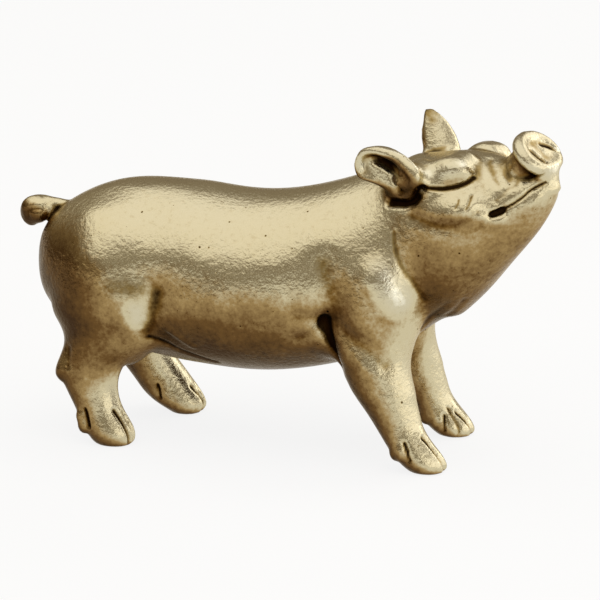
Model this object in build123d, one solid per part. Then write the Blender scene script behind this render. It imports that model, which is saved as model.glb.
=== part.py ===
"""Cast brass pig figurine, standing with its snout raised and turned a little to its right.

The figure is built up from separate solid castings: a body, a head, two ears, a tail and
four legs. Each smaller casting has a round tenon that seats in a socket of the larger one,
and the two meet on a flat joint face, where they are brazed. X runs from tail to snout,
Z is up, and the pig's right side faces -Y. Lengths are in millimetres. A table of shares
gives places as shares of the sizes named above it.
"""

import math
import os

from build123d import *

# Torso: the barrel of the body, from the rump to inside the neck.
torso_length = 73.0
back_height = 42.6
torso_width = 28.6

# Stations along the torso: share of its length, then top and bottom as shares of the back's
# height, then width as a share of the torso's width.
torso_shares = [
    (0.004, 0.730, 0.630, 0.18),
    (0.012, 0.785, 0.570, 0.40),
    (0.034, 0.842, 0.490, 0.62),
    (0.082, 0.905, 0.410, 0.80),
    (0.150, 0.960, 0.358, 0.91),
    (0.260, 0.992, 0.318, 0.965),
    (0.380, 0.988, 0.290, 0.99),
    (0.490, 0.972, 0.280, 1.000),
    (0.600, 0.990, 0.296, 0.985),
    (0.710, 1.042, 0.340, 0.930),
    (0.820, 1.110, 0.410, 0.830),
    (0.910, 1.155, 0.505, 0.740),
    (1.000, 1.180, 0.610, 0.640),
]

# Ham and shoulder: rounded masses on both sides of the torso.
ham_length = 21.0
ham_width = 14.6
ham_height = 28.0
ham_place = 14.2
ham_rise = 26.0
ham_spacing = 14.6
shoulder_length = 15.6
shoulder_width = 13.6
shoulder_height = 30.0
shoulder_place = 57.8
shoulder_rise = 27.0
shoulder_spacing = 14.0

# Legs: their joint faces lie at one height, where the legs come clear of the belly.
hip_height = 17.0
leg_joint_height = 13.0
leg_track = 20.0
front_leg_place = 58.0
front_leg_depth = 12.8
front_leg_width = 9.6
front_foot_lead = 9.2
hind_leg_place = 14.5
hind_leg_depth = 14.2
hind_leg_width = 10.4
hind_left_step = 6.5

# Stations down a front leg, from inside the body to the sole: height as a share of the
# hip's, lead as a share of the foot's lead, depth and width as shares of the leg's at the
# hip, and distance from the middle plane as a share of half the track.
front_leg_shares = [
    (1.60, 0.02, 0.76, 0.60, 0.70),
    (1.30, 0.00, 0.95, 0.90, 0.82),
    (1.00, 0.00, 1.00, 1.00, 0.885),
    (0.80, 0.163, 0.86, 0.86, 0.92),
    (0.65, 0.283, 0.75, 0.77, 0.94),
    (0.52, 0.408, 0.664, 0.70, 0.96),
    (0.37, 0.554, 0.60, 0.65, 0.98),
    (0.24, 0.72, 0.61, 0.66, 1.00),
    (0.12, 0.89, 0.615, 0.69, 1.00),
    (0.035, 1.00, 0.53, 0.62, 1.00),
    (0.00, 1.005, 0.40, 0.48, 1.00),
]
# Stations down the right hind leg, with the lead as a share of the leg's depth.
hind_leg_shares = [
    (1.60, 0.00, 0.80, 0.60, 0.70),
    (1.30, 0.02, 0.98, 0.92, 0.82),
    (1.00, 0.00, 1.00, 1.00, 0.875),
    (0.80, -0.225, 0.82, 0.82, 0.92),
    (0.63, -0.254, 0.68, 0.70, 0.94),
    (0.45, -0.197, 0.58, 0.62, 0.97),
    (0.29, -0.106, 0.565, 0.61, 0.99),
    (0.14, -0.010, 0.575, 0.64, 1.00),
    (0.045, 0.030, 0.51, 0.58, 1.00),
    (0.00, 0.042, 0.39, 0.46, 1.00),
]
# The left hind leg steps forward, so its lead is a share of the step.
step_leg_shares = [
    (1.60, 0.00, 0.80, 0.60, 0.70),
    (1.30, 0.04, 0.98, 0.92, 0.82),
    (1.00, 0.00, 1.00, 1.00, 0.875),
    (0.80, -0.18, 0.83, 0.83, 0.92),
    (0.62, -0.14, 0.735, 0.73, 0.94),
    (0.45, 0.14, 0.72, 0.66, 0.97),
    (0.30, 0.43, 0.72, 0.64, 0.99),
    (0.16, 0.70, 0.69, 0.66, 1.00),
    (0.045, 0.955, 0.50, 0.58, 1.00),
    (0.00, 0.99, 0.36, 0.46, 1.00),
]

# Feet: the cleft between the two claws of each hoof, and the pair of dewclaws behind it.
cleft_width = 1.1
cleft_length = 5.6
cleft_height = 4.6
cleft_lean = 24.0
dewclaw_length = 2.4
dewclaw_width = 2.2
dewclaw_height = 3.0
dewclaw_rise = 3.2
dewclaw_spacing = 3.4
dewclaw_setback = 4.4

# Head: its frame lies at the middle of the skull, pitched up and turned to the pig's right.
head_place = 67.5
head_offset = -1.5
head_rise = 40.5
head_pitch = 30.0
head_yaw = -15.0
head_length = 21.0
head_depth = 26.0
head_width = 22.4

# Stations along the head: share of its length, then top and bottom as shares of its depth,
# then width as a share of its width.
head_shares = [
    (-0.620, 0.490, -0.650, 0.84),
    (-0.400, 0.462, -0.645, 0.94),
    (-0.190, 0.424, -0.608, 1.00),
    (0.000, 0.374, -0.565, 0.99),
    (0.190, 0.318, -0.508, 0.92),
    (0.380, 0.262, -0.450, 0.78),
    (0.540, 0.190, -0.402, 0.63),
    (0.665, 0.105, -0.358, 0.51),
    (0.785, 0.005, -0.302, 0.41),
    (0.870, -0.075, -0.252, 0.30),
    (0.915, -0.125, -0.220, 0.18),
]

# Snout: a round tube that flares to an oval disc, tipped up from the head's own axis.
snout_reach = 20.5
snout_rise = 1.5
snout_tip_up = 17.0
snout_length = 10.0
disc_height = 7.6
disc_width = 9.0
disc_edge_radius = 0.7
disc_dish = 0.5
snout_waist_height = 6.2
snout_root_height = 8.8
snout_waist_back = 2.4
snout_flare_back = 1.3
nostril_height = 2.4
nostril_width = 0.9
nostril_depth = 1.6
nostril_spacing = 2.8
nostril_splay = 14.0

# Mouth: a groove from one corner, round under the disc, to the other corner. Its points are
# shares of the head's length and depth.
mouth_groove = 1.2
mouth_shares = ((0.560, -0.165), (0.680, -0.165), (0.780, -0.150), (0.860, -0.134))
mouth_front_share = 0.930

# Brow, closed eye and cheek on each side of the head, placed in the same way.
brow_length = 7.6
brow_width = 5.0
brow_height = 5.0
brow_shares = (0.375, 0.178)
brow_inset = 1.5
brow_tilt = 6.0
cheek_length = 13.4
cheek_width = 6.0
cheek_height = 6.6
cheek_shares = (0.225, -0.045)
cheek_inset = 2.2
cheek_tilt = 16.0
eye_groove = 0.8
eye_shares = ((0.190, 0.128), (0.300, 0.104), (0.400, 0.086), (0.500, 0.110))

# Ears: a cupped, rounded blade on a thick root. Each is cut at a flat joint face, and what
# lies below the face belongs to the head.
ear_length = 9.6
ear_width = 7.4
ear_depth = 4.8
ear_wall = 1.0
ear_reach = 2.8
ear_hollow_lift = 1.3
ear_hollow_shift = 0.5
ear_root_length = 10.0
ear_root_diameter = 5.0
ear_root_setback = 1.8
ear_knuckle_diameter = 5.9
ear_knuckle_sink = 2.2
ear_splay = 12.0
right_ear_along = 1.4
right_ear_out = 9.5
right_ear_up = 7.4
right_ear_turn = 136.0
left_ear_along = -0.1
left_ear_out = 7.0
left_ear_up = 8.4
left_ear_turn = 88.0

# Tail: a tapered round bar in one tight curl. What lies ahead of its joint face belongs to
# the body.
tail_place = -1.2
tail_rise = 35.4
tail_curl_length = 2.6
tail_curl_height = 3.2
tail_drift = 0.9
tail_diameter = 3.2
tail_joint_place = 2.6
# Points along the tail: shares of the curl's length and height from its middle, then the
# bar's diameter as a share of the tail's, then the drift to one side.
tail_shares = [
    (2.70, 0.26, 0.66, 0.0),
    (1.85, 0.42, 0.62, 0.0),
    (1.05, 0.48, 0.66, 0.0),
    (0.25, 0.44, 0.90, 0.0),
    (-0.34, 0.22, 1.04, 0.1),
    (-0.40, -0.20, 0.98, 0.4),
    (-0.12, -0.40, 0.74, 0.8),
    (0.06, -0.42, 0.34, 1.0),
]

# Joints: tenons, their sockets and the gap that the braze fills.
leg_tenon_diameter = 4.0
leg_tenon_length = 5.0
neck_tenon_diameter = 7.0
neck_tenon_length = 6.0
ear_tenon_diameter = 2.0
ear_tenon_length = 2.4
tail_tenon_diameter = 1.1
tail_tenon_length = 1.8
braze_gap = 0.05
socket_end_gap = 0.3

# Neck joint: a flat face from the nape down to the throat. The head's edge is broken there,
# which leaves the crease behind the jowl.
neck_joint_place = 65.7
neck_joint_offset = -0.5
neck_joint_height = 33.0
neck_joint_tilt = 19.0
neck_joint_yaw = -10.0
jowl_edge_radius = 1.0


def aimed_plane(origin, pitch, yaw):
    """A plane whose own x points along the given pitch and yaw, and whose z points up."""
    p, y = math.radians(pitch), math.radians(yaw)
    forward = (math.cos(p) * math.cos(y), math.cos(p) * math.sin(y), math.sin(p))
    upward = (-math.sin(p) * math.cos(y), -math.sin(p) * math.sin(y), math.cos(p))
    return Plane(origin=origin, x_dir=forward, z_dir=upward)


def barrel(shares, length, height, width):
    """A loft along X of upright elliptical sections, whose seam runs along the underside."""
    sections = []
    for along_share, top_share, bottom_share, width_share in shares:
        middle = (top_share + bottom_share) * height / 2
        rise = (top_share - bottom_share) * height / 2
        plane = Plane(
            origin=(along_share * length, 0, middle), x_dir=(0, 0, -1), z_dir=(1, 0, 0)
        )
        sections.append(plane * Ellipse(rise, width_share * width / 2))
    return loft(sections)


def head_skin(along_share, up_share):
    """How far the head's skin stands from its middle plane at a place on its side."""
    out = 0
    for rear, front in zip(head_shares, head_shares[1:]):
        if rear[0] <= along_share <= front[0]:
            share = (along_share - rear[0]) / (front[0] - rear[0])
            top, bottom, width = (
                rear[column] + share * (front[column] - rear[column]) for column in (1, 2, 3)
            )
            lift = (2 * up_share - top - bottom) / (top - bottom)
            out = width * head_width / 2 * math.sqrt(1 - lift * lift)
    return out


def head_point(along_share, up_share, side, inset=0):
    """A point on the skin of the head's side, or a distance inside it."""
    out = head_skin(along_share, up_share) - inset
    return Vector(along_share * head_length, side * out, up_share * head_depth)


def ellipsoid(length, width, height):
    """A rounded mass of three different diameters."""
    return scale(Sphere(1), by=(length / 2, width / 2, height / 2))


def rod(diameter, length):
    """A round bar from the origin along +Z."""
    return Cylinder(diameter / 2, length, align=(Align.CENTER, Align.CENTER, Align.MIN))


def tenon(diameter, length):
    """A tenon along +Z that starts inside its own casting."""
    return Pos(0, 0, -length / 2) * rod(diameter, length / 2 + length)


def socket(diameter, length):
    """The hole for a tenon, with the braze gap round it and past its end."""
    return Pos(0, 0, -braze_gap) * rod(
        diameter + 2 * braze_gap, length + socket_end_gap + braze_gap
    )


def groove(points, diameter):
    """A round bar that follows a curve, to be cut from a surface."""
    path = Spline(*points)
    return sweep(Plane(origin=path @ 0, z_dir=path % 0) * Circle(diameter / 2), path=path)


def limb(shares, place, lead_unit, depth, width, side):
    """A leg from inside the body down to its flat sole, with its seam on the inner side."""
    sections = []
    for height_share, lead_share, depth_share, width_share, spread_share in shares:
        middle = (
            place + lead_share * lead_unit,
            side * spread_share * leg_track / 2,
            height_share * hip_height,
        )
        plane = Plane(origin=middle, x_dir=(0, -side, 0), z_dir=(0, 0, 1))
        sections.append(plane * Ellipse(width_share * width / 2, depth_share * depth / 2))
    return loft(sections)


def make_foot(leg, foot_x, side):
    """The leg with two dewclaws added behind and the cleft cut from the toe."""
    foot_y = side * leg_track / 2
    claw = ellipsoid(dewclaw_length, dewclaw_width, dewclaw_height)
    for share in (-1, 1):
        claw_y = foot_y + share * dewclaw_spacing / 2
        leg += Pos(foot_x - dewclaw_setback, claw_y, dewclaw_rise) * claw
    wedge = make_face(
        Polyline(
            (0, 0),
            (cleft_length, cleft_width / 2),
            (cleft_length, -cleft_width / 2),
            close=True,
        )
    )
    cleft = extrude(wedge, cleft_height, both=True)
    return leg - Pos(foot_x, foot_y, 0) * Rot(0, -cleft_lean, 0) * cleft


def make_legs():
    """Each leg's name with its upper part, its lower part and the place of its tenon."""
    legs = []
    joint_face = Plane(origin=(0, 0, leg_joint_height))
    tables = (
        ("front_right_leg", front_leg_shares, front_leg_place, front_foot_lead, -1),
        ("front_left_leg", front_leg_shares, front_leg_place, front_foot_lead, 1),
        ("hind_right_leg", hind_leg_shares, hind_leg_place, hind_leg_depth, -1),
        ("hind_left_leg", step_leg_shares, hind_leg_place, hind_left_step, 1),
    )
    for name, shares, place, lead_unit, side in tables:
        front = name.startswith("front")
        depth = front_leg_depth if front else hind_leg_depth
        width = front_leg_width if front else hind_leg_width
        form = limb(shares, place, lead_unit, depth, width, side)
        foot_x = place + shares[-1][1] * lead_unit
        upper = split(form, bisect_by=joint_face, keep=Keep.TOP)
        lower = split(form, bisect_by=joint_face, keep=Keep.BOTTOM)
        lower = make_foot(lower, foot_x, side)
        spot = Pos(lower.faces().sort_by(Axis.Z)[-1].center())
        legs.append((name, upper, lower, spot))
    return legs


def make_snout():
    """The snout, turned about X and widened, with its disc face at the origin facing +X."""
    rim = disc_height / 2
    root = (-snout_length, snout_root_height / 2)
    flare = Spline(
        root,
        (-snout_waist_back, snout_waist_height / 2),
        (-snout_flare_back, (snout_waist_height + disc_height) / 4),
        (-disc_edge_radius, rim),
        tangents=((1, -0.3), (1, 0.5)),
    )
    edge = CenterArc((-disc_edge_radius, rim - disc_edge_radius), disc_edge_radius, 0, 90)
    dish = Spline(
        (0, rim - disc_edge_radius), (-disc_dish, 0), tangents=((-0.6, -1), (0, -1))
    )
    rest = Polyline((-disc_dish, 0), (-snout_length, 0), root)
    snout = revolve(make_face([flare, edge, dish, rest]), axis=Axis.X)
    nostril = ellipsoid(2 * nostril_depth, nostril_width, nostril_height)
    for side in (-1, 1):
        snout -= Pos(0, side * nostril_spacing / 2, 0) * Rot(side * nostril_splay, 0, 0) * nostril
    return scale(snout, by=(1, disc_width / disc_height, 1))


def ear_frame(side):
    """Where an ear's joint face lies on the head: its own x runs to the tip."""
    turn = math.radians(right_ear_turn if side < 0 else left_ear_turn)
    splay = math.radians(ear_splay)
    right = (right_ear_along, -right_ear_out, right_ear_up)
    left = (left_ear_along, left_ear_out, left_ear_up)
    tipward = (
        math.cos(turn) * math.cos(splay),
        side * math.sin(splay),
        math.sin(turn) * math.cos(splay),
    )
    outward = (
        -math.cos(turn) * math.sin(splay),
        side * math.cos(splay),
        -math.sin(turn) * math.sin(splay),
    )
    return Plane(origin=right if side < 0 else left, x_dir=tipward, z_dir=outward)


def make_ear():
    """An ear with its root: the tip along +X, the hollow of the cup open towards +Z."""
    blade = Pos(ear_reach, 0, 0) * ellipsoid(ear_length, ear_width, ear_depth)
    hollow = ellipsoid(
        ear_length - 2 * ear_wall, ear_width - 2 * ear_wall, ear_depth - ear_wall
    )
    root = Pos(-ear_root_setback, 0, 0) * ellipsoid(
        ear_root_length, ear_root_diameter, ear_root_diameter
    )
    return blade + root - Pos(ear_reach + ear_hollow_shift, 0, ear_hollow_lift) * hollow


def make_tail():
    """The tail from inside the rump to the tip of its curl."""
    points = []
    for along_share, up_share, diameter_share, drift_share in tail_shares:
        points.append(
            Vector(
                tail_place + along_share * tail_curl_length,
                -drift_share * tail_drift,
                tail_rise + up_share * tail_curl_height,
            )
        )
    path = Spline(*points)
    sections = []
    for point, row in zip(points, tail_shares):
        heading = path % path.param_at_point(point)
        plane = Plane(origin=point, x_dir=heading.cross(Vector(0, 1, 0)), z_dir=heading)
        sections.append(plane * Circle(row[2] * tail_diameter / 2))
    return loft(sections)


def make_torso():
    """The torso with its hams and shoulders."""
    torso = barrel(torso_shares, torso_length, back_height, torso_width)
    ham = Pos(ham_place, 0, ham_rise) * ellipsoid(ham_length, ham_width, ham_height)
    shoulder = Pos(shoulder_place, 0, shoulder_rise) * ellipsoid(
        shoulder_length, shoulder_width, shoulder_height
    )
    joint_face = Plane(origin=(0, 0, leg_joint_height))
    for side in (-1, 1):
        for mass, spacing in ((ham, ham_spacing), (shoulder, shoulder_spacing)):
            placed = Pos(0, side * spacing / 2, 0) * mass
            torso += split(placed, bisect_by=joint_face, keep=Keep.TOP)
    return torso


def make_skull(frame, neck_face):
    """The plain head, cut at the neck joint with its edge broken, in its own frame."""
    skull = frame.location * barrel(head_shares, head_length, head_depth, head_width)
    skull = split(skull, bisect_by=neck_face, keep=Keep.TOP)
    rear = min(skull.faces(), key=lambda face: abs(neck_face.to_local_coords(face.center()).Z))
    return frame.location.inverse() * fillet(rear.edges(), jowl_edge_radius)


def add_face(head):
    """The head with its snout, brows, cheeks, closed eyes and mouth."""
    head += aimed_plane((snout_reach, 0, snout_rise), snout_tip_up, 0).location * make_snout()
    brow = Rot(0, -brow_tilt, 0) * ellipsoid(brow_length, brow_width, brow_height)
    cheek = Rot(0, cheek_tilt, 0) * ellipsoid(cheek_length, cheek_width, cheek_height)
    for side in (-1, 1):
        head += Pos(head_point(*brow_shares, side, brow_inset)) * brow
        head += Pos(head_point(*cheek_shares, side, cheek_inset)) * cheek
    for side in (-1, 1):
        head -= groove([head_point(*row, side) for row in eye_shares], eye_groove)
    right = [head_point(*row, -1) for row in mouth_shares]
    left = [head_point(*row, 1) for row in reversed(mouth_shares)]
    front = Vector(mouth_front_share * head_length, 0, mouth_shares[-1][1] * head_depth)
    return head - groove(right + [front] + left, mouth_groove)


def main():
    """Build the nine castings, set the figure on the origin and write one file for each."""
    parts = {}
    neck = aimed_plane(
        (neck_joint_place, neck_joint_offset, neck_joint_height),
        neck_joint_tilt,
        neck_joint_yaw,
    )
    neck_face = Plane(origin=neck.origin, x_dir=neck.y_dir, z_dir=neck.x_dir)
    neck_spot = Plane(origin=neck.origin, x_dir=neck.y_dir, z_dir=-neck.x_dir).location
    frame = aimed_plane((head_place, head_offset, head_rise), head_pitch, head_yaw)

    body = make_torso()
    for name, upper, lower, spot in make_legs():
        body += upper
        body -= spot * socket(leg_tenon_diameter, leg_tenon_length)
        parts[name] = lower + spot * tenon(leg_tenon_diameter, leg_tenon_length)
    body = split(body, bisect_by=neck_face, keep=Keep.BOTTOM)
    body -= neck_spot * socket(neck_tenon_diameter, neck_tenon_length)

    tail = make_tail()
    tail_face = Plane(origin=(tail_joint_place, 0, 0), z_dir=(1, 0, 0))
    stub = split(tail, bisect_by=tail_face, keep=Keep.TOP)
    tail = split(tail, bisect_by=tail_face, keep=Keep.BOTTOM)
    root = tail.faces().sort_by(Axis.X)[-1].center()
    tail_spot = Plane(origin=root, x_dir=(0, 1, 0), z_dir=(1, 0, 0)).location
    body = body + stub - tail_spot * socket(tail_tenon_diameter, tail_tenon_length)
    parts["tail"] = tail + tail_spot * tenon(tail_tenon_diameter, tail_tenon_length)
    parts["body"] = body

    head = add_face(make_skull(frame, neck_face))
    for name, side in (("right_ear", -1), ("left_ear", 1)):
        place = ear_frame(side)
        joint_face = Plane(origin=place.origin, x_dir=place.y_dir, z_dir=place.x_dir)
        spot = Plane(origin=place.origin, x_dir=place.y_dir, z_dir=-place.x_dir).location
        ear = place.location * make_ear()
        knuckle = Pos(-ear_knuckle_diameter / 2, 0, -ear_knuckle_sink)
        head += place.location * knuckle * Sphere(ear_knuckle_diameter / 2)
        head += split(ear, bisect_by=joint_face, keep=Keep.BOTTOM)
        head -= spot * socket(ear_tenon_diameter, ear_tenon_length)
        blade = split(ear, bisect_by=joint_face, keep=Keep.TOP)
        blade += spot * tenon(ear_tenon_diameter, ear_tenon_length)
        parts[name] = frame.location * blade
    parts["head"] = frame.location * head + neck_spot * tenon(
        neck_tenon_diameter, neck_tenon_length
    )

    boxes = [part.bounding_box() for part in parts.values()]
    middle_x = (min(box.min.X for box in boxes) + max(box.max.X for box in boxes)) / 2
    middle_y = (min(box.min.Y for box in boxes) + max(box.max.Y for box in boxes)) / 2
    os.makedirs("parts", exist_ok=True)
    for name, part in parts.items():
        export_step(Pos(-middle_x, -middle_y, 0) * part, "parts/" + name + ".step")


main()
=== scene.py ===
"""Antiqued brass pig figurine: the looks of the castings, over the frame that the CAD model gives.

Places and sizes are written in millimetres and multiplied by MM where Blender needs metres.
"""

import math
import bmesh
import bpy
import numpy as np
from mathutils import Matrix, Vector
from mathutils.kdtree import KDTree


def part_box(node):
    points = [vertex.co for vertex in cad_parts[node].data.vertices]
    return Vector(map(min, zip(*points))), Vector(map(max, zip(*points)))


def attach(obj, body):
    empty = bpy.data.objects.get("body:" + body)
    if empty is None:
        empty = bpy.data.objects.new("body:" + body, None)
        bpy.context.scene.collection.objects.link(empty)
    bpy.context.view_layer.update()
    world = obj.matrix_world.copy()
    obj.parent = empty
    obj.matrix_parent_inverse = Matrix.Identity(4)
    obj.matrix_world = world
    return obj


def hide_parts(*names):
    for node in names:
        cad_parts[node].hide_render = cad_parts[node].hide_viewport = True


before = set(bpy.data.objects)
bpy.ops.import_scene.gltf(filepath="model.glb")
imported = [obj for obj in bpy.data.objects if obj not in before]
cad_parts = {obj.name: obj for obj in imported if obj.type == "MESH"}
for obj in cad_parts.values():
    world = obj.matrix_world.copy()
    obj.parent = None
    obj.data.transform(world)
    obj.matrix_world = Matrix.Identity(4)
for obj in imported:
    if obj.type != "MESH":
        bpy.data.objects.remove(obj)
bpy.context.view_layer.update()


# Camera: a long lens about half a metre away, a little above the pig's back and turned
# towards its face, as the photograph was taken. The shifts set the pig's place in the frame.
MM = 0.001
view_centre = Vector((1.23, 0.0, 25.0)) * MM
camera_azimuth = math.radians(16.0)
camera_elevation = math.radians(15.0)
camera_distance = 480.0 * MM
camera_sensor = 36.0
camera_lens = 178.56
camera_shift = (0.0117, -0.015)
camera_clip = 10.0 * MM
backwards = Vector((
    math.sin(camera_azimuth) * math.cos(camera_elevation),
    -math.cos(camera_azimuth) * math.cos(camera_elevation),
    math.sin(camera_elevation),
))
camera = bpy.data.objects.new("camera", bpy.data.cameras.new("camera"))
camera.data.sensor_width = camera_sensor
camera.data.lens = camera_lens
camera.data.shift_x, camera.data.shift_y = camera_shift
camera.data.clip_start = camera_clip
camera.location = view_centre + camera_distance * backwards
camera.rotation_mode = "QUATERNION"
camera.rotation_quaternion = (-backwards).to_track_quat("-Z", "Y")
bpy.context.scene.collection.objects.link(camera)
bpy.context.scene.camera = camera


# Cast brass, burnished by hand and then antiqued. Its colour paints reflection and shade by how a
# place faces: pale gold and finely uneven on top, an olive band of painted reflection at the side,
# and brown patina with painted shade underneath. A few places are painted palest as highlights,
# and the creases are nearly black with patina and painted shade.
painted_highlight_brass = "#F8F3DC"
upper_brass = "#D3CAAC"
plain_brass = "#D0C49F"
olive_reflection_band = "#A28757"
brown_patina_and_shade = "#6A4E2A"
dark_patina_and_shade = "#3F2C1A"
hollow_patina_and_shade = "#C4B28C"
crease_patina_and_shade = "#3A2A1A"
highlight_tint = "#F2EADC"
blotch_width = 6.0
mottling_width = 0.8
pit_spacing = 1.5
pit_height = 1.2
swell_width = 9.0
swell_height = 1.0
stroke_width = 0.7
stroke_height = 0.15
underside_share = 0.75
blotch_share = 0.18
mottling_share = 0.14
grain_share = 0.28
pit_darkness = 4.5


def srgb(code):
    """A colour written as an sRGB hex value, turned linear for a shader."""
    parts = [int(code[i:i + 2], 16) / 255 for i in (1, 3, 5)]
    return [c / 12.92 if c <= 0.04045 else ((c + 0.055) / 1.055) ** 2.4 for c in parts] + [1.0]


def node(tree, kind, settings=None, links=None, values=None):
    """Adds one node to a tree with its settings, its incoming links and its input values."""
    made = tree.nodes.new(kind)
    for name, value in (settings or {}).items():
        setattr(made, name, value)
    for name, value in (values or {}).items():
        made.inputs[name].default_value = value
    for name, source in (links or {}).items():
        tree.links.new(source, made.inputs[name])
    return made


def stops(ramp, places):
    """Sets a colour ramp's stops, each a place and a hex colour, and gives its output."""
    elements = ramp.color_ramp.elements
    while len(elements) < len(places):
        elements.new(0.5)
    for element, (place, code) in zip(elements, places):
        element.position = place
        element.color = srgb(code)
    return ramp.outputs["Color"]


def make_brass(name):
    """The one finish of the figure, which reads how deep and how far underneath a place is."""
    material = bpy.data.materials.new(name)
    material.use_nodes = True
    tree = material.node_tree
    tree.nodes.clear()
    place = node(tree, "ShaderNodeTexCoord").outputs["Object"]
    crevice_patina_and_shade = node(tree, "ShaderNodeAttribute", {"attribute_name": "crevice_patina_and_shade"}).outputs["Fac"]
    underside_patina_and_shade = node(tree, "ShaderNodeAttribute", {"attribute_name": "underside_patina_and_shade"}).outputs["Fac"]
    # Blotches of patina a few millimetres wide, and a finer mottling under a millimetre.
    blotches = node(tree, "ShaderNodeTexNoise", links={"Vector": place},
                    values={"Scale": 1 / (blotch_width * MM), "Detail": 5.0, "Roughness": 0.65})
    mottling = node(tree, "ShaderNodeTexNoise", links={"Vector": place},
                    values={"Scale": 1 / (mottling_width * MM), "Detail": 3.0, "Roughness": 0.7})
    # Painted reflection and shade by how a place faces: pale on top, olive at the side and brown
    # underneath with patina, with an edge that the blotches break up.
    spread = node(tree, "ShaderNodeMath", {"operation": "MULTIPLY"}, {0: underside_patina_and_shade},
                  {1: underside_share})
    fading = node(tree, "ShaderNodeMath", {"operation": "MULTIPLY_ADD"},
                  {0: blotches.outputs["Fac"], 2: spread.outputs[0]}, {1: blotch_share})
    faded = node(tree, "ShaderNodeMath", {"operation": "MULTIPLY_ADD"},
                 {0: mottling.outputs["Fac"], 2: fading.outputs[0]}, {1: mottling_share})
    tone = stops(node(tree, "ShaderNodeValToRGB", links={"Fac": faded.outputs[0]}), [
        (0.05, painted_highlight_brass), (0.16, upper_brass), (0.46, plain_brass),
        (0.55, olive_reflection_band), (0.64, brown_patina_and_shade), (0.75, dark_patina_and_shade),
    ])
    # Small casting pits, only in some of the cells and only where the blotches are.
    pits = node(tree, "ShaderNodeTexVoronoi", {"feature": "F1"}, {"Vector": place},
                {"Scale": 1 / (pit_spacing * MM)})
    pit_size = node(tree, "ShaderNodeMath", {"operation": "MULTIPLY"},
                    {0: pits.outputs["Color"], 1: blotches.outputs["Fac"]})
    pit_reach = node(tree, "ShaderNodeMapRange", links={"Value": pit_size.outputs[0]},
                     values={"From Min": 0.20, "From Max": 0.5, "To Min": 0.0, "To Max": 0.16})
    pit_depth = node(tree, "ShaderNodeMath", {"operation": "SUBTRACT", "use_clamp": True},
                     {0: pit_reach.outputs[0], 1: pits.outputs["Distance"]})
    pitted = node(tree, "ShaderNodeMath", {"operation": "MULTIPLY_ADD"},
                  {0: pit_depth.outputs[0], 2: crevice_patina_and_shade}, {1: pit_darkness})
    # Darkness in the creases and hollows is patina and painted shade; the pits and the grain of
    # the casting darken it too.
    grain = node(tree, "ShaderNodeMath", {"operation": "MULTIPLY_ADD"},
                 {0: mottling.outputs["Fac"], 2: pitted.outputs[0]}, {1: grain_share})
    shade = stops(node(tree, "ShaderNodeValToRGB", links={"Fac": grain.outputs[0]}), [
        (0.16, "#FFFFFF"), (0.34, hollow_patina_and_shade), (0.62, crease_patina_and_shade),
    ])
    colour = node(tree, "ShaderNodeMix", {"data_type": "RGBA", "blend_type": "MULTIPLY"},
                  {6: tone, 7: shade}, {"Factor": 1.0})
    # The hand-formed surface is a little uneven, which makes the edges of a reflection wander.
    swells = node(tree, "ShaderNodeTexNoise", links={"Vector": place},
                  values={"Scale": 1 / (swell_width * MM), "Detail": 1.0, "Roughness": 0.5})
    swells_bump = node(tree, "ShaderNodeBump", links={"Height": swells.outputs["Fac"]},
                       values={"Strength": 0.6, "Distance": swell_height * MM})
    # Burnishing strokes and fine pits, which catch the light.
    strokes = node(tree, "ShaderNodeTexNoise", links={"Vector": place},
                   values={"Scale": 1 / (stroke_width * MM), "Detail": 3.0, "Roughness": 0.6})
    strokes_bump = node(tree, "ShaderNodeBump",
                        links={"Height": strokes.outputs["Fac"], "Normal": swells_bump.outputs[0]},
                        values={"Strength": 0.8, "Distance": stroke_height * MM})
    pits_bump = node(tree, "ShaderNodeBump", {"invert": True},
                     {"Height": pit_depth.outputs[0], "Normal": strokes_bump.outputs[0]},
                     {"Strength": 0.6, "Distance": pit_height * MM})
    # The dark patina is duller than the rubbed metal.
    roughness = node(tree, "ShaderNodeMapRange", links={"Value": grain.outputs[0]},
                     values={"From Min": 0.1, "From Max": 0.7, "To Min": 0.22, "To Max": 0.6})
    shader = node(tree, "ShaderNodeBsdfPrincipled", links={
        "Base Color": colour.outputs[2], "Roughness": roughness.outputs[0],
        "Normal": pits_bump.outputs[0],
    }, values={"Metallic": 1.0, "Specular Tint": srgb(highlight_tint)})
    node(tree, "ShaderNodeOutputMaterial", links={"Surface": shader.outputs[0]})
    return material


cast_brass = make_brass("antiqued_cast_brass")


# Body: the solid casting of torso, hams and shoulders that carries all the others. The skin
# of the whole figure starts here, because every joint is brazed and dressed over.
skin = bmesh.new()
castings = {}


def casting(name, solid=True):
    """A casting's own object. Its frame solid goes into the skin, and its mesh comes last."""
    if solid:
        skin.from_mesh(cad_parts[name].data)
    piece = bpy.data.objects.new(name + "_skin", bpy.data.meshes.new(name + "_skin"))
    piece.data.materials.append(cast_brass)
    bpy.context.scene.collection.objects.link(piece)
    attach(piece, "root")
    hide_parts(name)
    castings[name] = piece


ball_form = bmesh.new()
bmesh.ops.create_icosphere(ball_form, subdivisions=3, radius=0.5)
ball = bpy.data.meshes.new("ball")
ball_form.to_mesh(ball)
ball_form.free()


def lump(centre, size, turn=None):
    """Adds a rounded form to the skin: its centre and its three diameters in millimetres."""
    form = ball.copy()
    form.transform(Matrix.Diagonal(Vector(size) * MM).to_4x4())
    form.transform(turn or Matrix.Identity(4))
    form.transform(Matrix.Translation(Vector(centre) * MM))
    skin.from_mesh(form)
    bpy.data.meshes.remove(form)


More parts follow.
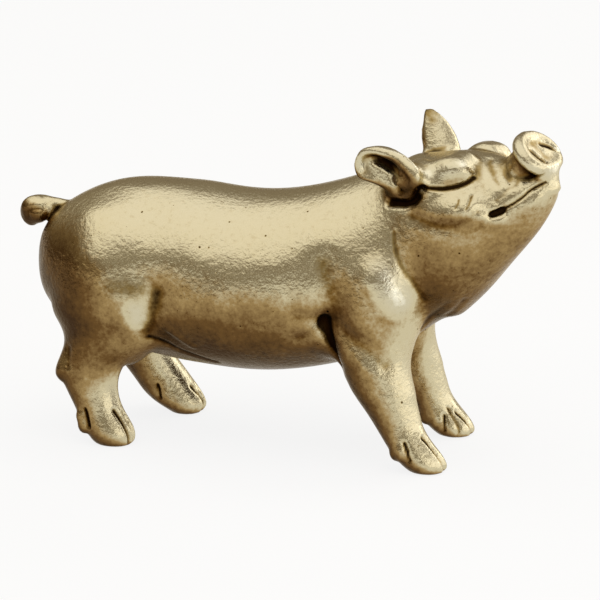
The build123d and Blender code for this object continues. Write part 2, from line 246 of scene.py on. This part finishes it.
def rounded(line, gap):
    """A smooth Catmull-Rom curve through the points of a line, read at even small gaps."""
    ends = [line[0] * 2 - line[1]] + line + [line[-1] * 2 - line[-2]]
    curve = []
    for a, b, c, d in zip(ends, ends[1:], ends[2:], ends[3:]):
        steps = max(1, round((c - b).length / gap))
        for step in range(steps):
            t = step / steps
            curve.append(b + ((c - a) * t + (2 * a - 5 * b + 4 * c - d) * t * t
                              + (3 * b - a - 3 * c + d) * t ** 3) / 2)
    return curve + [line[-1]]


def roll(line, diameters, flat=(1, 1, 1), turn=None):
    """Adds a rolled form that follows a line, with a diameter at each of its points."""
    line = [Vector(point) for point in line]
    path = rounded(line, gap=0.35)
    spots = [0.0]
    for one, other in zip(path, path[1:]):
        spots.append(spots[-1] + (other - one).length)
    given = [min(range(len(path)), key=lambda k: (path[k] - point).length) for point in line]
    widths = np.interp(spots, [spots[k] for k in given], diameters)
    for point, width in zip(path, widths):
        lump(point, [width * share for share in flat], turn)


blends = []
creases = []
painted_highlights = []


def blend(line, width, rounds):
    """Notes a place where two forms are worked into each other, and for how many rounds."""
    blends.append(([Vector(point) for point in line], width, rounds))


def crease(line, width, depth, dark=0.0):
    """Notes a crease to be pressed into the skin, with its colour painted dark as patina and
    shade. A negative depth raises a fold.
    """
    creases.append(([Vector(point) for point in line], width, depth, dark))


def paint_highlight(line, width, shine=0.0):
    """Notes a place painted brighter as a highlight, however it faces. The shine makes it the
    palest of all.
    """
    painted_highlights.append(([Vector(point) for point in line], width, shine))


def mirrored(line):
    """The same line on the pig's other side."""
    return [(x, -y, z) for x, y, z in line]


casting("body")
ham_edge = [(-36.0, -9.5, 30.0), (-32.5, -10.5, 36.0), (-26.0, -11.5, 39.0), (-20.0, -13.2, 35.0),
            (-17.0, -14.2, 28.0)]
shoulder_edge = [(9.0, -13.6, 30.0), (12.5, -12.8, 37.0), (17.5, -11.5, 40.0), (23.0, -11.2, 36.0)]
hip_edge = [(-35.0, -10.0, 16.5), (-30.0, -13.0, 16.2), (-25.0, -13.2, 16.2), (-21.0, -11.0, 17.5)]
arm_edge = [(11.0, -10.0, 18.0), (17.0, -13.3, 17.5), (23.0, -10.0, 18.0)]
flank_hollow = [(-17.6, -14.0, 27.0), (-18.0, -13.2, 24.0), (-18.2, -11.8, 20.5)]
stifle = [(-21.6, -13.4, 24.8), (-20.8, -12.8, 21.5)]
stifle_shine = [(-21.0, -13.4, 23.6), (-20.6, -13.2, 22.2)]
ham_painted_shade = [(-25.0, -14.0, 27.5), (-20.0, -14.0, 27.0)]
thigh_edge = [(-17.4, -14.2, 26.4), (-18.6, -13.0, 22.4), (-19.8, -12.2, 19.8)]
belly_fold = [(-19.4, -11.3, 18.6), (-14.9, -9.6, 16.5), (-9.6, -7.6, 14.3)]
belly_ridge = [(-16.2, -12.4, 20.6), (-12.2, -10.9, 17.6)]
shoulder_hollow = [(9.8, -13.4, 33.0), (11.0, -13.2, 29.0), (11.2, -13.0, 25.5)]
shoulder_bulge = [(19.6, -12.9, 32.0), (21.6, -12.0, 28.0)]
elbow_slot = [(10.0, -12.6, 23.8), (10.2, -11.4, 21.0), (10.9, -10.6, 16.4)]
elbow_fan = [
    [(9.8, -12.6, 23.4), (7.8, -13.4, 24.2), (5.8, -13.8, 24.2)],
    [(9.6, -12.2, 22.4), (7.6, -12.6, 21.2), (6.0, -12.8, 20.0)],
]
foreleg_crease = [(13.4, -13.0, 22.2), (16.7, -13.4, 20.0), (20.2, -12.8, 17.4)]
jowl_crease = [(20.6, -11.4, 38.6), (21.7, -11.4, 34.0), (24.1, -11.0, 30.5), (25.6, -9.6, 27.6)]
chest_folds = [
    [(28.4, -7.6, 27.4), (26.2, -6.6, 24.6), (24.4, -5.6, 22.0)],
    [(30.2, -6.0, 28.2), (28.0, -4.8, 25.4)],
]
# Both sides are alike: each line is noted as it is, on the near side, and mirrored.
for side in (list, mirrored):
    blend(side(ham_edge), width=8.0, rounds=300)
    blend(side(shoulder_edge), width=8.0, rounds=300)
    blend(side(hip_edge), width=5.5, rounds=160)
    blend(side(arm_edge), width=6.0, rounds=160)
    # The hollows of the flank and shoulder and the edge of the thigh are darkened in colour as
    # painted shade.
    crease(side(flank_hollow), width=6.2, depth=0.4, dark=0.05)
    crease(side(shoulder_hollow), width=4.6, depth=0.5, dark=0.2)
    crease(side(stifle), width=5.2, depth=-0.6)
    crease(side(belly_fold), width=0.9, depth=0.3, dark=0.3)
    crease(side(belly_ridge), width=0.9, depth=-0.2)
    crease(side(elbow_slot), width=2.8, depth=0.5, dark=0.3)
    crease(side(elbow_slot), width=1.3, depth=0.75, dark=0.7)
    for line in elbow_fan:
        crease(side(line), width=2.0, depth=0.3, dark=0.1)
    crease(side(foreleg_crease), width=2.6, depth=0.4, dark=0.1)
    crease(side(shoulder_bulge), width=5.0, depth=-0.8)
    # Painted highlights on the shoulder and the stifle.
    paint_highlight(side(shoulder_bulge), width=4.0, shine=0.35)
    paint_highlight(side(stifle_shine), width=2.8, shine=0.28)
    # The front of the ham is painted darker here as shade; it is not pressed in.
    crease(side(ham_painted_shade), width=4.5, depth=0.0, dark=0.35)
    crease(side(thigh_edge), width=2.6, depth=0.3, dark=0.3)
    crease(side(jowl_crease), width=1.0, depth=0.2, dark=0.15)
    for line in chest_folds:
        crease(side(line), width=1.2, depth=0.2, dark=0.2)


# Head: a solid casting on a tenon at the neck. Its forms are given in its own frame, which is
# pitched up and turned to the pig's right: along the muzzle, out to the side, and up.
head_middle = Vector((26.23, -1.5, 40.5))
head_pitch = math.radians(30.0)
head_yaw = math.radians(-15.0)
head_turn = Matrix.Rotation(head_yaw, 4, "Z") @ Matrix.Rotation(-head_pitch, 4, "Y")


def head_point(place, side=1):
    """A place in the head's own frame, in the figure's. A side of -1 is the pig's right."""
    along, out, up = place
    return head_middle + head_turn @ Vector((along, side * out, up))


def head_line(line, side=1):
    """The places of a line in the head's own frame, in the figure's."""
    return [head_point(place, side) for place in line]


casting("head")
neck_middle = head_middle + Vector((-4.0, 1.0, -7.5))
neck_half_width = 11.0
neck_half_height = 12.5
neck_lean = 0.33
neck_ring = []
for step in range(0, 361, 30):
    angle = math.radians(step)
    rise = neck_half_height * math.sin(angle)
    out = neck_half_width * math.cos(angle)
    neck_ring.append(neck_middle + Vector((-neck_lean * rise, out, rise)))
blend(neck_ring, width=5.5, rounds=110)

# The chin and the root of the near ear are filled out, and so is the brow over each eye.
chin, chin_size = (18.9, 0.0, -3.4), (4.2, 6.0, 4.6)
ear_root, ear_root_size = (3.8, 9.4, 4.4), (3.0, 2.4, 3.0)
brow, brow_size = (7.9, 6.7, 4.6), (8.2, 4.8, 5.4)
brow_turn = head_turn @ Matrix.Rotation(math.radians(22.0), 4, "Y")
under_lip = [(20.6, -1.6, -3.0), (20.8, 0.0, -3.0), (20.6, 1.6, -3.0)]
lump(head_point(chin), chin_size, head_turn)
lump(head_point(ear_root), ear_root_size, head_turn)
blend(head_line(under_lip), width=2.4, rounds=30)

eye_slit = [(4.4, 10.4, 4.1), (5.8, 9.6, 3.1), (8.0, 8.0, 2.2), (9.6, 6.9, 1.9), (10.7, 6.0, 2.1)]
ear_crease = [(-2.4, 9.6, 4.4), (0.1, 9.9, 3.1), (2.2, 9.8, 2.9), (4.4, 10.4, 4.1)]
brow_edge = [(5.4, 7.8, 6.2), (8.0, 7.0, 5.6), (10.4, 5.6, 4.8)]
brow_shine = [(5.6, 8.8, 5.2), (8.0, 8.4, 4.8), (10.0, 7.2, 4.4)]
cheek_pad = [(2.5, 10.4, 1.0), (5.5, 9.6, 0.2), (8.6, 8.6, -0.6)]
cheek_edge = [(0.5, 10.6, 1.0), (2.5, 10.7, -0.9), (5.2, 10.4, -2.9), (8.4, 9.6, -3.7),
              (10.6, 8.6, -3.1)]
cheek_slits = [[(10.4, 8.0, -0.5), (9.5, 9.4, -1.8)], [(8.6, 8.8, -0.2), (8.0, 9.6, -1.2)]]
mouth = [(11.6, 6.8, -4.4), (13.2, 5.6, -4.3), (15.8, 4.3, -3.9), (17.6, 3.2, -3.4),
         (19.4, 1.6, -3.1), (20.0, 0.0, -3.0)]
mouth_corner = [(11.6, 6.8, -4.3), (12.8, 5.9, -4.4)]
mouth_rim = [(10.4, 7.9, -4.0), (10.7, 7.0, -5.3), (12.2, 6.0, -5.7)]
lip_fold = [(12.9, 6.2, -2.6), (14.4, 5.2, -1.9), (16.2, 4.1, -1.8)]
snout_folds = [
    [(12.5, 1.8, 3.7), (13.2, 4.0, 1.6), (13.5, 4.8, -0.6)],
    [(14.9, 1.2, 3.0), (15.2, 3.2, 1.4), (15.4, 4.2, -0.8)],
]
# A bead fills each of the solid's own grooves, a little inside the skin, and the groove is
# pressed in again more sharply.
bead = 1.5
bead_inset = 0.93
for side in (-1, 1):
    lump(head_point(brow, side), brow_size, brow_turn)
    for slit in (mouth, eye_slit):
        inside = [(along, bead_inset * out, up) for along, out, up in slit]
        roll(head_line(inside, side), [bead] * len(slit))
    blend(head_line(cheek_pad, side), width=5.5, rounds=80)
    blend(head_line(brow_edge, side), width=3.4, rounds=40)
    blend(head_line(mouth, side), width=1.9, rounds=60)
    # Painted highlight along each brow.
    paint_highlight(head_line(brow_shine, side), width=2.0, shine=0.2)
    crease(head_line(cheek_pad, side), width=4.6, depth=-0.35)
    crease(head_line(cheek_edge, side), width=1.8, depth=0.35, dark=0.2)
    # The eye slits, the mouth and the ear crease are painted nearly black, with patina and shade.
    crease(head_line(eye_slit, side), width=0.65, depth=0.45, dark=0.9)
    if side < 0:
        crease(head_line(ear_crease, side), width=1.1, depth=0.9, dark=1.0)
    for line in cheek_slits:
        crease(head_line(line, side), width=0.6, depth=0.2, dark=0.6)
    crease(head_line(mouth[:-1], side), width=0.55, depth=0.35, dark=0.7)
    crease(head_line(mouth_corner, side), width=1.0, depth=0.55, dark=1.0)
    crease(head_line(mouth_rim, side), width=1.2, depth=-0.35)
    crease(head_line(lip_fold, side), width=1.1, depth=0.2, dark=0.2)
    for line in snout_folds:
        crease(head_line(line, side), width=1.1, depth=0.2, dark=0.15)

# The snout's disc has a thick rounded lip, tipped up from the head's own axis.
disc_middle = Vector((20.5, 0.0, 1.5))
disc_tip_up = math.radians(17.0)
disc_turn = Matrix.Rotation(-disc_tip_up, 4, "Y")


def disc_line(line):
    """Places across the snout's disc, up it and behind its face, in the figure's frame."""
    return [head_point(disc_middle + disc_turn @ Vector((-back, out, up)))
            for out, up, back in line]


lip_half_width = 4.5
lip_half_height = 3.2
lip_back = 1.0
lip_diameters = (2.2, 2.2, 2.2, 2.3, 2.4, 2.6, 2.8, 2.9, 2.9, 2.8, 2.6, 2.4, 2.2)
lip = [(lip_half_width * math.sin(math.radians(step)),
        lip_half_height * math.cos(math.radians(step)), lip_back) for step in range(0, 361, 30)]
disc_fills = [(-2.0, 0.1, 1.1), (2.0, 0.1, 1.1)]
disc_fill_size = (1.8, 5.2, 5.4)
right_nostril = [(-2.4, 0.5, 0.4), (-2.1, -0.5, 0.4), (-1.6, -1.7, 0.4)]
left_nostril = [(1.5, 0.8, 0.4), (2.9, 0.2, 0.4), (4.2, -1.2, 0.4)]
roll(disc_line(lip), lip_diameters)
for fill in disc_line(disc_fills):
    lump(fill, disc_fill_size, head_turn @ disc_turn)
# Painted highlight round the lip of the disc.
paint_highlight(disc_line(lip), width=1.6, shine=0.2)
for nostril in (right_nostril, left_nostril):
    crease(disc_line(nostril), width=0.8, depth=0.35, dark=0.4)


# Right ear: a small cupped casting on a tenon at the back of the head, folded back over its own
# root. It has a thick rolled rim, a thin lobe, and a wedge where the cup is deepest that is
# painted dark with patina and shade; its floor and rim are painted brighter as highlights.
casting("right_ear")
right_rim = [(-3.6, -10.9, 10.4), (-3.4, -11.1, 11.6), (-2.6, -11.3, 12.7), (-1.3, -11.4, 13.0),
             (0.4, -11.4, 12.4), (2.0, -11.3, 11.2), (3.3, -11.2, 9.8), (4.1, -11.2, 8.3),
             (4.7, -11.2, 6.8), (4.6, -11.2, 5.6), (3.3, -11.1, 4.9)]
right_rim_diameters = (0.9, 1.0, 1.2, 1.3, 1.4, 1.7, 2.0, 2.2, 2.2, 2.0, 1.6)
right_lobe = [(-3.7, -10.7, 10.2), (-3.6, -10.6, 9.2), (-2.9, -10.5, 8.2), (-1.7, -10.4, 7.3),
              (-0.6, -10.3, 6.7)]
right_lobe_diameters = (0.9, 1.0, 1.1, 1.2, 1.2)
right_floor = [(-2.2, -9.9, 11.2), (-1.7, -9.8, 9.8), (-0.9, -9.7, 8.2), (0.3, -9.6, 6.6),
               (1.8, -9.6, 5.8)]
right_floor_diameters = (3.8, 5.0, 5.2, 4.8, 3.8)
floor_flatness = (1.0, 0.36, 1.0)
right_back, right_back_size = (0.2, -8.7, 8.0), (5.4, 2.8, 5.4)
right_wedge = [(-0.9, -10.2, 11.0), (0.5, -10.0, 9.2), (1.0, -10.0, 7.2), (0.8, -10.0, 5.6)]
roll(head_line(right_rim), right_rim_diameters)
roll(head_line(right_lobe), right_lobe_diameters)
roll(head_line(right_floor), right_floor_diameters, floor_flatness, head_turn)
lump(head_point(right_back), right_back_size, head_turn)
# Painted highlights on the ear's floor and rim.
paint_highlight(head_line(right_floor[:4]), width=3.4)
paint_highlight(head_line(right_rim[1:9]), width=1.5, shine=0.2)
crease(head_line(right_wedge), width=1.1, depth=0.8, dark=1.0)


# Left ear: the same kind of casting, standing up and coming to a dark point. Its blade is
# thinner than the frame's solid, so it is rolled anew, and hollowed behind.
casting("left_ear", solid=False)
left_blade = [(0.2, 6.8, 8.4), (0.6, 7.0, 10.2), (0.9, 7.1, 12.0), (1.05, 7.2, 13.5),
              (1.0, 7.3, 14.7), (0.9, 7.4, 15.3)]
left_blade_diameters = (6.5, 5.9, 4.8, 3.4, 2.2, 1.2)
blade_flatness = (1.0, 0.5, 1.0)
blade_turn = head_turn @ Matrix.Rotation(math.radians(40.0), 4, "Z")
left_hollow = [(-1.2, 8.6, 9.8), (-0.6, 8.4, 11.6), (-0.2, 8.0, 13.2)]
roll(head_line(left_blade), left_blade_diameters, blade_flatness, blade_turn)
crease(head_line(left_hollow), width=2.1, depth=0.9, dark=0.2)
crease(head_line(left_blade[-3:]), width=3.4, depth=0.0, dark=1.0)


# Tail: a short tapered bar of the same brass, bent into one curl and brazed into the rump. The
# curl lies close, so only a crease shows between its turns.
casting("tail")
tail_curl, tail_curl_size = (-42.4, -0.9, 35.9), (5.2, 3.6, 4.8)
tail_stem, tail_stem_size = (-40.2, -0.5, 35.9), (2.6, 2.4, 2.8)
curl_crease = [(-40.9, -2.5, 36.4), (-42.2, -2.9, 36.4), (-43.5, -2.4, 35.8), (-43.2, -2.6, 34.7)]
lump(tail_curl, tail_curl_size)
lump(tail_stem, tail_stem_size)
crease(curl_crease, width=0.8, depth=0.35, dark=0.4)


# Legs: four short castings on tenons, each ending in a cloven hoof with a dewclaw. The left
# hind leg steps forward. Each dewclaw has a place, a size and the crease beside it.
leg_tips = {"front_right_leg": (25, -10, 1), "front_left_leg": (25, 10, 1),
            "hind_right_leg": (-27, -10, 1), "hind_left_leg": (-21, 10, 1)}
for name in leg_tips:
    casting(name)
clefts = [
    [(29.3, -10.4, 0.4), (28.6, -10.6, 2.2), (27.2, -10.8, 4.2), (25.9, -10.9, 5.8)],
    [(29.2, 9.4, 0.4), (28.4, 9.2, 2.4), (26.6, 8.6, 4.2)],
    [(-23.1, -11.0, 0.4), (-23.4, -11.2, 2.4), (-24.6, -11.3, 4.8), (-25.4, -11.4, 5.8)],
    [(-17.2, 9.6, 0.4), (-17.8, 9.4, 2.2), (-19.6, 9.2, 4.2)],
]
toe_line = [(27.5, 7.3, 1.2), (26.9, 7.6, 2.8), (26.1, 7.8, 3.6), (25.6, 7.5, 5.0)]
dewclaws = [
    ((22.5, -12.4, 3.7), (2.2, 2.0, 3.8), [(23.3, -13.2, 5.2), (24.0, -13.2, 2.4)]),
    ((23.6, 7.8, 2.6), (2.4, 2.0, 3.4), [(24.9, 7.0, 4.0), (24.9, 7.0, 1.0)]),
    ((-31.0, -11.8, 4.7), (2.0, 2.0, 3.4), [(-30.1, -12.8, 6.0), (-29.5, -12.8, 3.2)]),
    ((-25.4, 7.8, 4.2), (2.0, 2.0, 3.0), [(-24.2, 7.0, 5.2), (-23.8, 7.0, 2.8)]),
]
right_hock, right_hock_size = (-34.2, -10.2, 12.8), (4.0, 4.6, 6.4)
left_hock, left_hock_size = (-33.0, 9.8, 13.0), (4.0, 4.4, 5.2)
hock_crease = [(-33.2, -12.2, 15.8), (-33.0, -12.6, 13.4)]
for cleft in clefts:
    crease(cleft, width=0.8, depth=0.6, dark=0.8)
crease(toe_line, width=0.7, depth=0.35, dark=0.8)
for place, size, line in dewclaws:
    lump(place, size)
    crease(line, width=0.7, depth=0.5, dark=0.8)
lump(right_hock, right_hock_size)
lump(left_hock, left_hock_size)
crease(hock_crease, width=1.2, depth=0.3, dark=0.1)


# Dressing: the castings are brazed together and filed over, so their skin is made as one even
# surface. Then the blends, creases and painted highlights that the sections above noted are worked
# into it, and it keeps how hollow and how far underneath each of its points is, for the painted
# patina and shade.
voxel = 0.31
weld_gap = 0.0001
smoothing_rounds = 6


def dressed(forms):
    """One closed surface round all the forms, evenly meshed."""
    data = bpy.data.meshes.new("forms")
    bmesh.ops.remove_doubles(forms, verts=forms.verts, dist=weld_gap * MM)
    forms.to_mesh(data)
    forms.free()
    work = bpy.data.objects.new("forms", data)
    bpy.context.scene.collection.objects.link(work)
    remesh = work.modifiers.new("even", "REMESH")
    remesh.mode = "VOXEL"
    remesh.voxel_size = voxel * MM
    smooth = work.modifiers.new("smooth", "SMOOTH")
    smooth.factor = 0.5
    smooth.iterations = smoothing_rounds
    result = bpy.data.meshes.new_from_object(
        work.evaluated_get(bpy.context.evaluated_depsgraph_get()))
    bpy.data.objects.remove(work)
    bpy.data.meshes.remove(data)
    return result


surface = dressed(skin)
bpy.data.meshes.remove(ball)
count = len(surface.vertices)
points = np.empty(count * 3)
surface.vertices.foreach_get("co", points)
points = points.reshape(-1, 3) / MM
ends = np.empty(len(surface.edges) * 2, int)
surface.edges.foreach_get("vertices", ends)
ends = ends.reshape(-1, 2)


def evened(values, rounds, share=1.0):
    """Each point's values drawn towards the mean of its neighbours, over and over."""
    share = np.broadcast_to(share, (len(values), 1))
    links = ends[(share[ends, 0] > 0).any(1)]
    held, inner = np.unique(links, return_inverse=True)
    inner = inner.reshape(-1, 2)
    work = values[held]
    pull = share[held]
    number = np.bincount(inner.ravel(), minlength=len(held))[:, None]
    for _ in range(rounds):
        total = np.zeros_like(work)
        for one, other in ((0, 1), (1, 0)):
            for column in range(work.shape[1]):
                total[:, column] += np.bincount(inner[:, one], work[inner[:, other], column],
                                                len(held))
        work = work + pull * (total / number - work)
    result = values.copy()
    result[held] = work
    return result


def facing():
    """The outward direction at each point."""
    surface.vertices.foreach_set("co", (points * MM).ravel())
    surface.update()
    normals = np.empty(count * 3)
    surface.vertex_normals.foreach_get("vector", normals)
    return normals.reshape(-1, 3)


def nearness(line, width):
    """From 1 on a line that is settled onto the skin to 0 at a width from it."""
    path = np.array([tuple(point) for point in rounded(line, gap=0.8)])
    path = np.array([points[((points - point) ** 2).sum(1).argmin()] for point in path])
    path[1:-1] = (path[:-2] + 2 * path[1:-1] + path[2:]) / 4
    low, high = path.min(0) - width, path.max(0) + width
    close = np.flatnonzero(((points > low) & (points < high)).all(1))
    near = np.full(len(close), np.inf)
    for a, b in zip(path, path[1:]):
        along = b - a
        share = np.clip((points[close] - a) @ along / max(along @ along, 1e-9), 0, 1)
        gap = np.linalg.norm(points[close] - a - share[:, None] * along, axis=1)
        near = np.minimum(near, gap)
    weight = np.zeros(count)
    t = np.clip(1 - near / width, 0, 1)
    weight[close] = t * t * (3 - 2 * t)
    return weight


for line, width, rounds in blends:
    pull = np.minimum(nearness(line, width) * 1.5, 0.8)
    points = evened(points, rounds, pull[:, None])
darkness = np.zeros(count)
for line, width, depth, dark in creases:
    weight = nearness(line, width)
    points -= facing() * (weight * depth)[:, None]
    darkness = np.maximum(darkness, weight ** 4 * dark)

# How hollow a place is, from its depth below the skin around it.
full_depth = 0.45
depth_rounds = 40
hollow_share = 0.6
darkness_share = 0.5
hollow = ((evened(points, depth_rounds) - points) * facing()).sum(1) / full_depth
# This darkens the colour: patina and painted shade in the hollows and creases.
crevice_patina_and_shade = np.clip(hollow, 0, 1) * hollow_share + darkness * darkness_share
# How far a place faces down and back: the brown there is patina and painted shade, standing in for
# the dark reflection from below. The back of the rump, above the hocks, is painted darker still.
darkest_facing_lean = math.radians(30.0)
darkest_facing = np.array((-math.sin(darkest_facing_lean), 0.0, -math.cos(darkest_facing_lean)))
slope_rounds = 12
rump_start, rump_fade = -23.0, 8.0
hock_height, hock_fade = 9.0, 6.0
# The back of the rump is painted darker still, as shade.
rump_painted_shade = 0.12
rump = (np.clip((rump_start - points[:, 0]) / rump_fade, 0, 1)
        * np.clip((points[:, 2] - hock_height) / hock_fade, 0, 1))
slope = evened(facing(), slope_rounds) @ darkest_facing
underside_patina_and_shade = np.clip(0.5 + 0.5 * slope + rump_painted_shade * rump, 0, 1)
# A painted highlight takes most of the darkness out of a hollow, and some of the patina and
# painted shade underneath.
crevice_cleared = 0.8
patina_cleared = 0.3
for line, width, shine in painted_highlights:
    highlighted = nearness(line, width)
    crevice_patina_and_shade *= 1 - crevice_cleared * highlighted
    underside_patina_and_shade -= (patina_cleared * underside_patina_and_shade + shine) * highlighted
for name, values in (("crevice_patina_and_shade", crevice_patina_and_shade), ("underside_patina_and_shade", underside_patina_and_shade)):
    layer = surface.attributes.new(name, "FLOAT", "POINT")
    layer.data.foreach_set("value", values)


# Joint faces: the dressed skin is parted again into its castings. The body, the head, the tail,
# the left ear and the legs meet on flat faces, and the right ear along its folded root.
cut_tolerance = 0.001
whole = bmesh.new()
whole.from_mesh(surface)
bpy.data.meshes.remove(surface)


def closed(piece):
    """Fills the open joint faces of a casting and keeps their edges crisp."""
    rims = [edge for edge in piece.edges if edge.is_boundary]
    faces = bmesh.ops.holes_fill(piece, edges=rims, sides=0)["faces"]
    for edge in rims:
        edge.smooth = False
    bmesh.ops.poke(piece, faces=faces)
    bmesh.ops.recalc_face_normals(piece, faces=piece.faces)
    return piece


def flat_cut(joint, outwards, reach):
    """Cuts the skin along a joint face, up to a reach from its middle, and gives the edges."""
    joint = Vector(joint) * MM
    near = [face for face in whole.faces
            if (face.calc_center_median() - joint).length < reach * MM]
    geometry = dict.fromkeys(part for face in near for part in (face, *face.edges, *face.verts))
    cut = bmesh.ops.bisect_plane(whole, geom=list(geometry), plane_co=joint, plane_no=outwards,
                                 dist=cut_tolerance * MM)["geom_cut"]
    return {part for part in cut if isinstance(part, bmesh.types.BMEdge)}


def close_to(line, width):
    """A test of whether a face lies within a width of a line."""
    spots = rounded([Vector(point) for point in line], gap=0.4)
    tree = KDTree(len(spots))
    for index, spot in enumerate(spots):
        tree.insert(spot * MM, index)
    tree.balance()
    return lambda face: tree.find(face.calc_center_median())[2] < width * MM


def part_off(name, tip, rim=frozenset(), belongs=lambda face: True):
    """Takes a casting off the skin, from its tip to the cut rim or as far as faces belong."""
    tip = Vector(tip) * MM
    first = min(whole.faces, key=lambda face: (face.calc_center_median() - tip).length)
    taken, front = {first}, [first]
    while front:
        for edge in front.pop().edges:
            if edge not in rim:
                beyond = [face for face in edge.link_faces
                          if face not in taken and belongs(face)]
                taken.update(beyond)
                front += beyond
    # Where the outline of what is taken touches itself, the faces round that corner go too,
    # and so does a face with nothing but taken ones beside it.
    added = True
    while added:
        corners = {corner for face in taken for corner in face.verts}
        added = {face for corner in corners
                 if sum(sum(face in taken for face in edge.link_faces) == 1
                        for edge in corner.link_edges) > 2
                 for face in corner.link_faces}
        added |= {face for corner in corners for face in corner.link_faces
                  if all(other is face or other in taken
                         for edge in face.edges for other in edge.link_faces)}
        added -= taken
        taken |= added
    whole.faces.index_update()
    kept = {face.index for face in taken}
    piece = whole.copy()
    bmesh.ops.delete(piece, geom=[face for face in piece.faces if face.index not in kept],
                     context="FACES")
    bmesh.ops.delete(whole, geom=[face for face in whole.faces if face in taken],
                     context="FACES")
    closed(whole)
    closed(piece).to_mesh(castings[name].data)
    piece.free()


leg_joint_height = 13.0
for name, tip in leg_tips.items():
    low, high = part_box(name)
    middle = (Vector(low) + Vector(high)) / (2 * MM)
    leg_joint = (middle.x, middle.y, leg_joint_height)
    part_off(name, tip, flat_cut(leg_joint, (0, 0, -1), reach=11.0))

left_joint = (-0.1, 7.0, 8.4)
left_lean = math.radians(88.0)
left_splay = math.radians(12.0)
tipwards = head_turn @ Vector((math.cos(left_lean) * math.cos(left_splay), math.sin(left_splay),
                               math.sin(left_lean) * math.cos(left_splay)))
part_off("left_ear", head_point(left_blade[-1]),
         rim=flat_cut(head_point(left_joint), tipwards, reach=7.0),
         belongs=close_to(head_line(left_blade[1:]), width=4.2))
part_off("right_ear", head_point(right_rim[1]),
         belongs=close_to(head_line(right_rim + right_floor[::-1]), width=2.3))

tail_joint = (-38.67, 0.0, 36.9)
tail_tip = (-44.9, -0.5, 36.0)
tail_run = [(-39.4, 0.0, 37.0), (-41.4, -0.2, 36.8), (-43.2, -1.0, 35.8)]
part_off("tail", tail_tip, rim=flat_cut(tail_joint, (-1, 0, 0), reach=3.2),
         belongs=close_to(tail_run, width=2.9))

neck_joint = (24.43, -0.5, 33.0)
neck_joint_tilt = math.radians(19.0)
neck_joint_yaw = math.radians(-10.0)
headwards = (math.cos(neck_joint_tilt) * math.cos(neck_joint_yaw),
             math.cos(neck_joint_tilt) * math.sin(neck_joint_yaw), math.sin(neck_joint_tilt))
part_off("head", head_point(disc_middle), flat_cut(neck_joint, headwards, reach=24.0))

whole.to_mesh(castings["body"].data)
whole.free()
for piece in castings.values():
    for face in piece.data.polygons:
        face.use_smooth = True


# Floor and light: a plain white table under a large soft lamp. A long low lamp at the right
# lights the face and the chest, and a small one ahead, on the far side, lights the snout. The
# table is white to the camera and in reflections, and keeps the shadow.
table_half_width = 3.0
table_paint = "#F4F4F2"
table_evenness = 0.85
room_glow = "#938979"


def make_table():
    """The table top, which adds an even white for what is seen directly or in the metal."""
    material = bpy.data.materials.new("white_painted_table")
    material.use_nodes = True
    tree = material.node_tree
    tree.nodes.clear()
    paths = node(tree, "ShaderNodeLightPath").outputs
    seen = node(tree, "ShaderNodeMath", {"operation": "ADD", "use_clamp": True},
                {0: paths["Is Camera Ray"], 1: paths["Is Glossy Ray"]})
    seen = node(tree, "ShaderNodeMath", {"operation": "ADD", "use_clamp": True},
                {0: seen.outputs[0], 1: paths["Is Transmission Ray"]})
    share = node(tree, "ShaderNodeMath", {"operation": "MULTIPLY"}, {0: seen.outputs[0]},
                 {1: table_evenness})
    paint = node(tree, "ShaderNodeBsdfDiffuse", values={"Color": srgb(table_paint)})
    white = node(tree, "ShaderNodeEmission", values={"Color": srgb("#FFFFFF"), "Strength": 1.0})
    mixed = node(tree, "ShaderNodeMixShader",
                 links={0: share.outputs[0], 1: paint.outputs[0], 2: white.outputs[0]})
    node(tree, "ShaderNodeOutputMaterial", links={"Surface": mixed.outputs[0]})
    mesh = bmesh.new()
    bmesh.ops.create_grid(mesh, x_segments=1, y_segments=1, size=table_half_width)
    data = bpy.data.meshes.new("table_top")
    mesh.to_mesh(data)
    mesh.free()
    data.materials.append(material)
    top = bpy.data.objects.new("table_top", data)
    bpy.context.scene.collection.objects.link(top)


def soft_lamp(name, place, target, size, power):
    """A rectangular soft lamp turned towards a place, in metres and watts."""
    lamp = bpy.data.lights.new(name, "AREA")
    lamp.shape = "RECTANGLE"
    lamp.size, lamp.size_y = size
    lamp.energy = power
    holder = bpy.data.objects.new(name, lamp)
    holder.location = place
    holder.rotation_mode = "QUATERNION"
    holder.rotation_quaternion = (Vector(target) - Vector(place)).to_track_quat("-Z", "Y")
    bpy.context.scene.collection.objects.link(holder)


make_table()
soft_lamp("overhead_lamp", place=(-0.15, -0.49, 1.0), target=(-0.15, -0.489, 0.0),
          size=(2.3, 2.22), power=14.2)
soft_lamp("side_lamp", place=(0.95, -0.05, 0.26), target=(0.0, -0.05, 0.03),
          size=(3.0, 0.5), power=5.8)
soft_lamp("front_lamp", place=(0.50, 0.74, 0.47), target=(0.04, 0.0, 0.05),
          size=(0.8, 0.5), power=1.7)
world = bpy.data.worlds.new("plain_room")
world.use_nodes = True
world.node_tree.nodes["Background"].inputs["Color"].default_value = srgb(room_glow)
bpy.context.scene.world = world
bpy.context.scene.view_settings.view_transform = "Standard"
